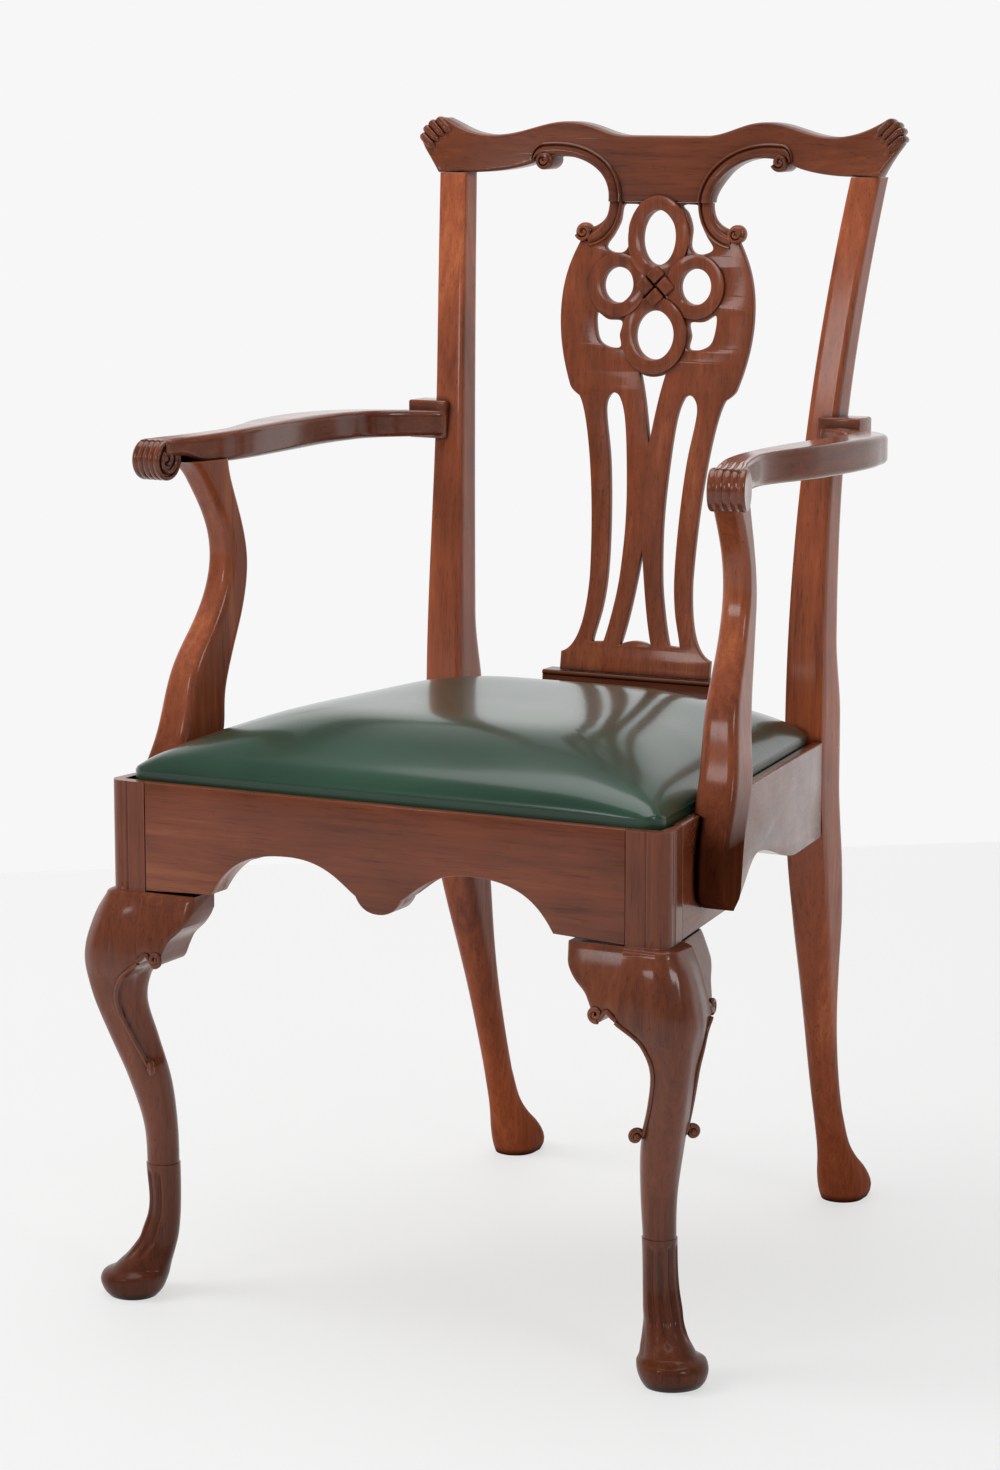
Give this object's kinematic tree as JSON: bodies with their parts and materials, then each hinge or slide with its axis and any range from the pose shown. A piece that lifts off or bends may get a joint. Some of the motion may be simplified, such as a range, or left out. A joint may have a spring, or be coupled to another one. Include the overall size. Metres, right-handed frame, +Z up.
{
  "type": "armchair",
  "caption": "Carved wooden armchair with a pierced interlaced splat, serpentine crest, scrolled arms, cabriole front legs with pad feet and a lift-out leather seat.",
  "frame": {"origin": "on the floor under the middle of the chair's bounding box", "axes": "+X to the right as seen from in front of the chair, +Y to the back, +Z up"},
  "size_m": [0.5684, 0.6266, 1],
  "materials": {
    "mahogany": "polished, worn satin",
    "beech": "unfinished",
    "leather": "smooth satin",
    "jute": "raw woven",
    "hair": "matted",
    "steel": "plain"
  },
  "bodies": {
    "chair_frame": {"front_leg_left": "mahogany", "front_leg_right": "mahogany", "knee_bracket_front_left": "mahogany", "knee_bracket_front_right": "mahogany", "knee_bracket_side_left": "mahogany", "knee_bracket_side_right": "mahogany", "front_rail": "mahogany", "side_rail_left": "mahogany", "side_rail_right": "mahogany", "rear_rail": "mahogany", "rear_post_left": "mahogany", "rear_post_right": "mahogany", "crest_rail": "mahogany", "splat": "mahogany", "shoe": "mahogany", "arm_left": "mahogany", "arm_right": "mahogany", "arm_support_left": "mahogany", "arm_support_right": "mahogany", "corner_block_front_left": "beech", "corner_block_front_right": "beech", "corner_block_rear_left": "beech", "corner_block_rear_right": "beech", "arm_dowel_left": "beech", "arm_dowel_right": "beech", "arm_screw_left_upper": "steel", "arm_screw_left_lower": "steel", "arm_screw_right_upper": "steel", "arm_screw_right_lower": "steel"},
    "drop_in_seat": {"seat_frame_front": "beech", "seat_frame_back": "beech", "seat_frame_left": "beech", "seat_frame_right": "beech", "seat_webbing_front": "jute", "seat_webbing_middle": "jute", "seat_webbing_back": "jute", "seat_webbing_left": "jute", "seat_webbing_centre": "jute", "seat_webbing_right": "jute", "seat_hessian": "jute", "seat_padding": "hair", "seat_leather": "leather"}
  },
  "joints": [
    {"name": "seat_lift", "type": "slide", "parent": "chair_frame", "child": "drop_in_seat", "axis": [0, 0, 1], "range_m": [0, 0.12]}
  ]
}
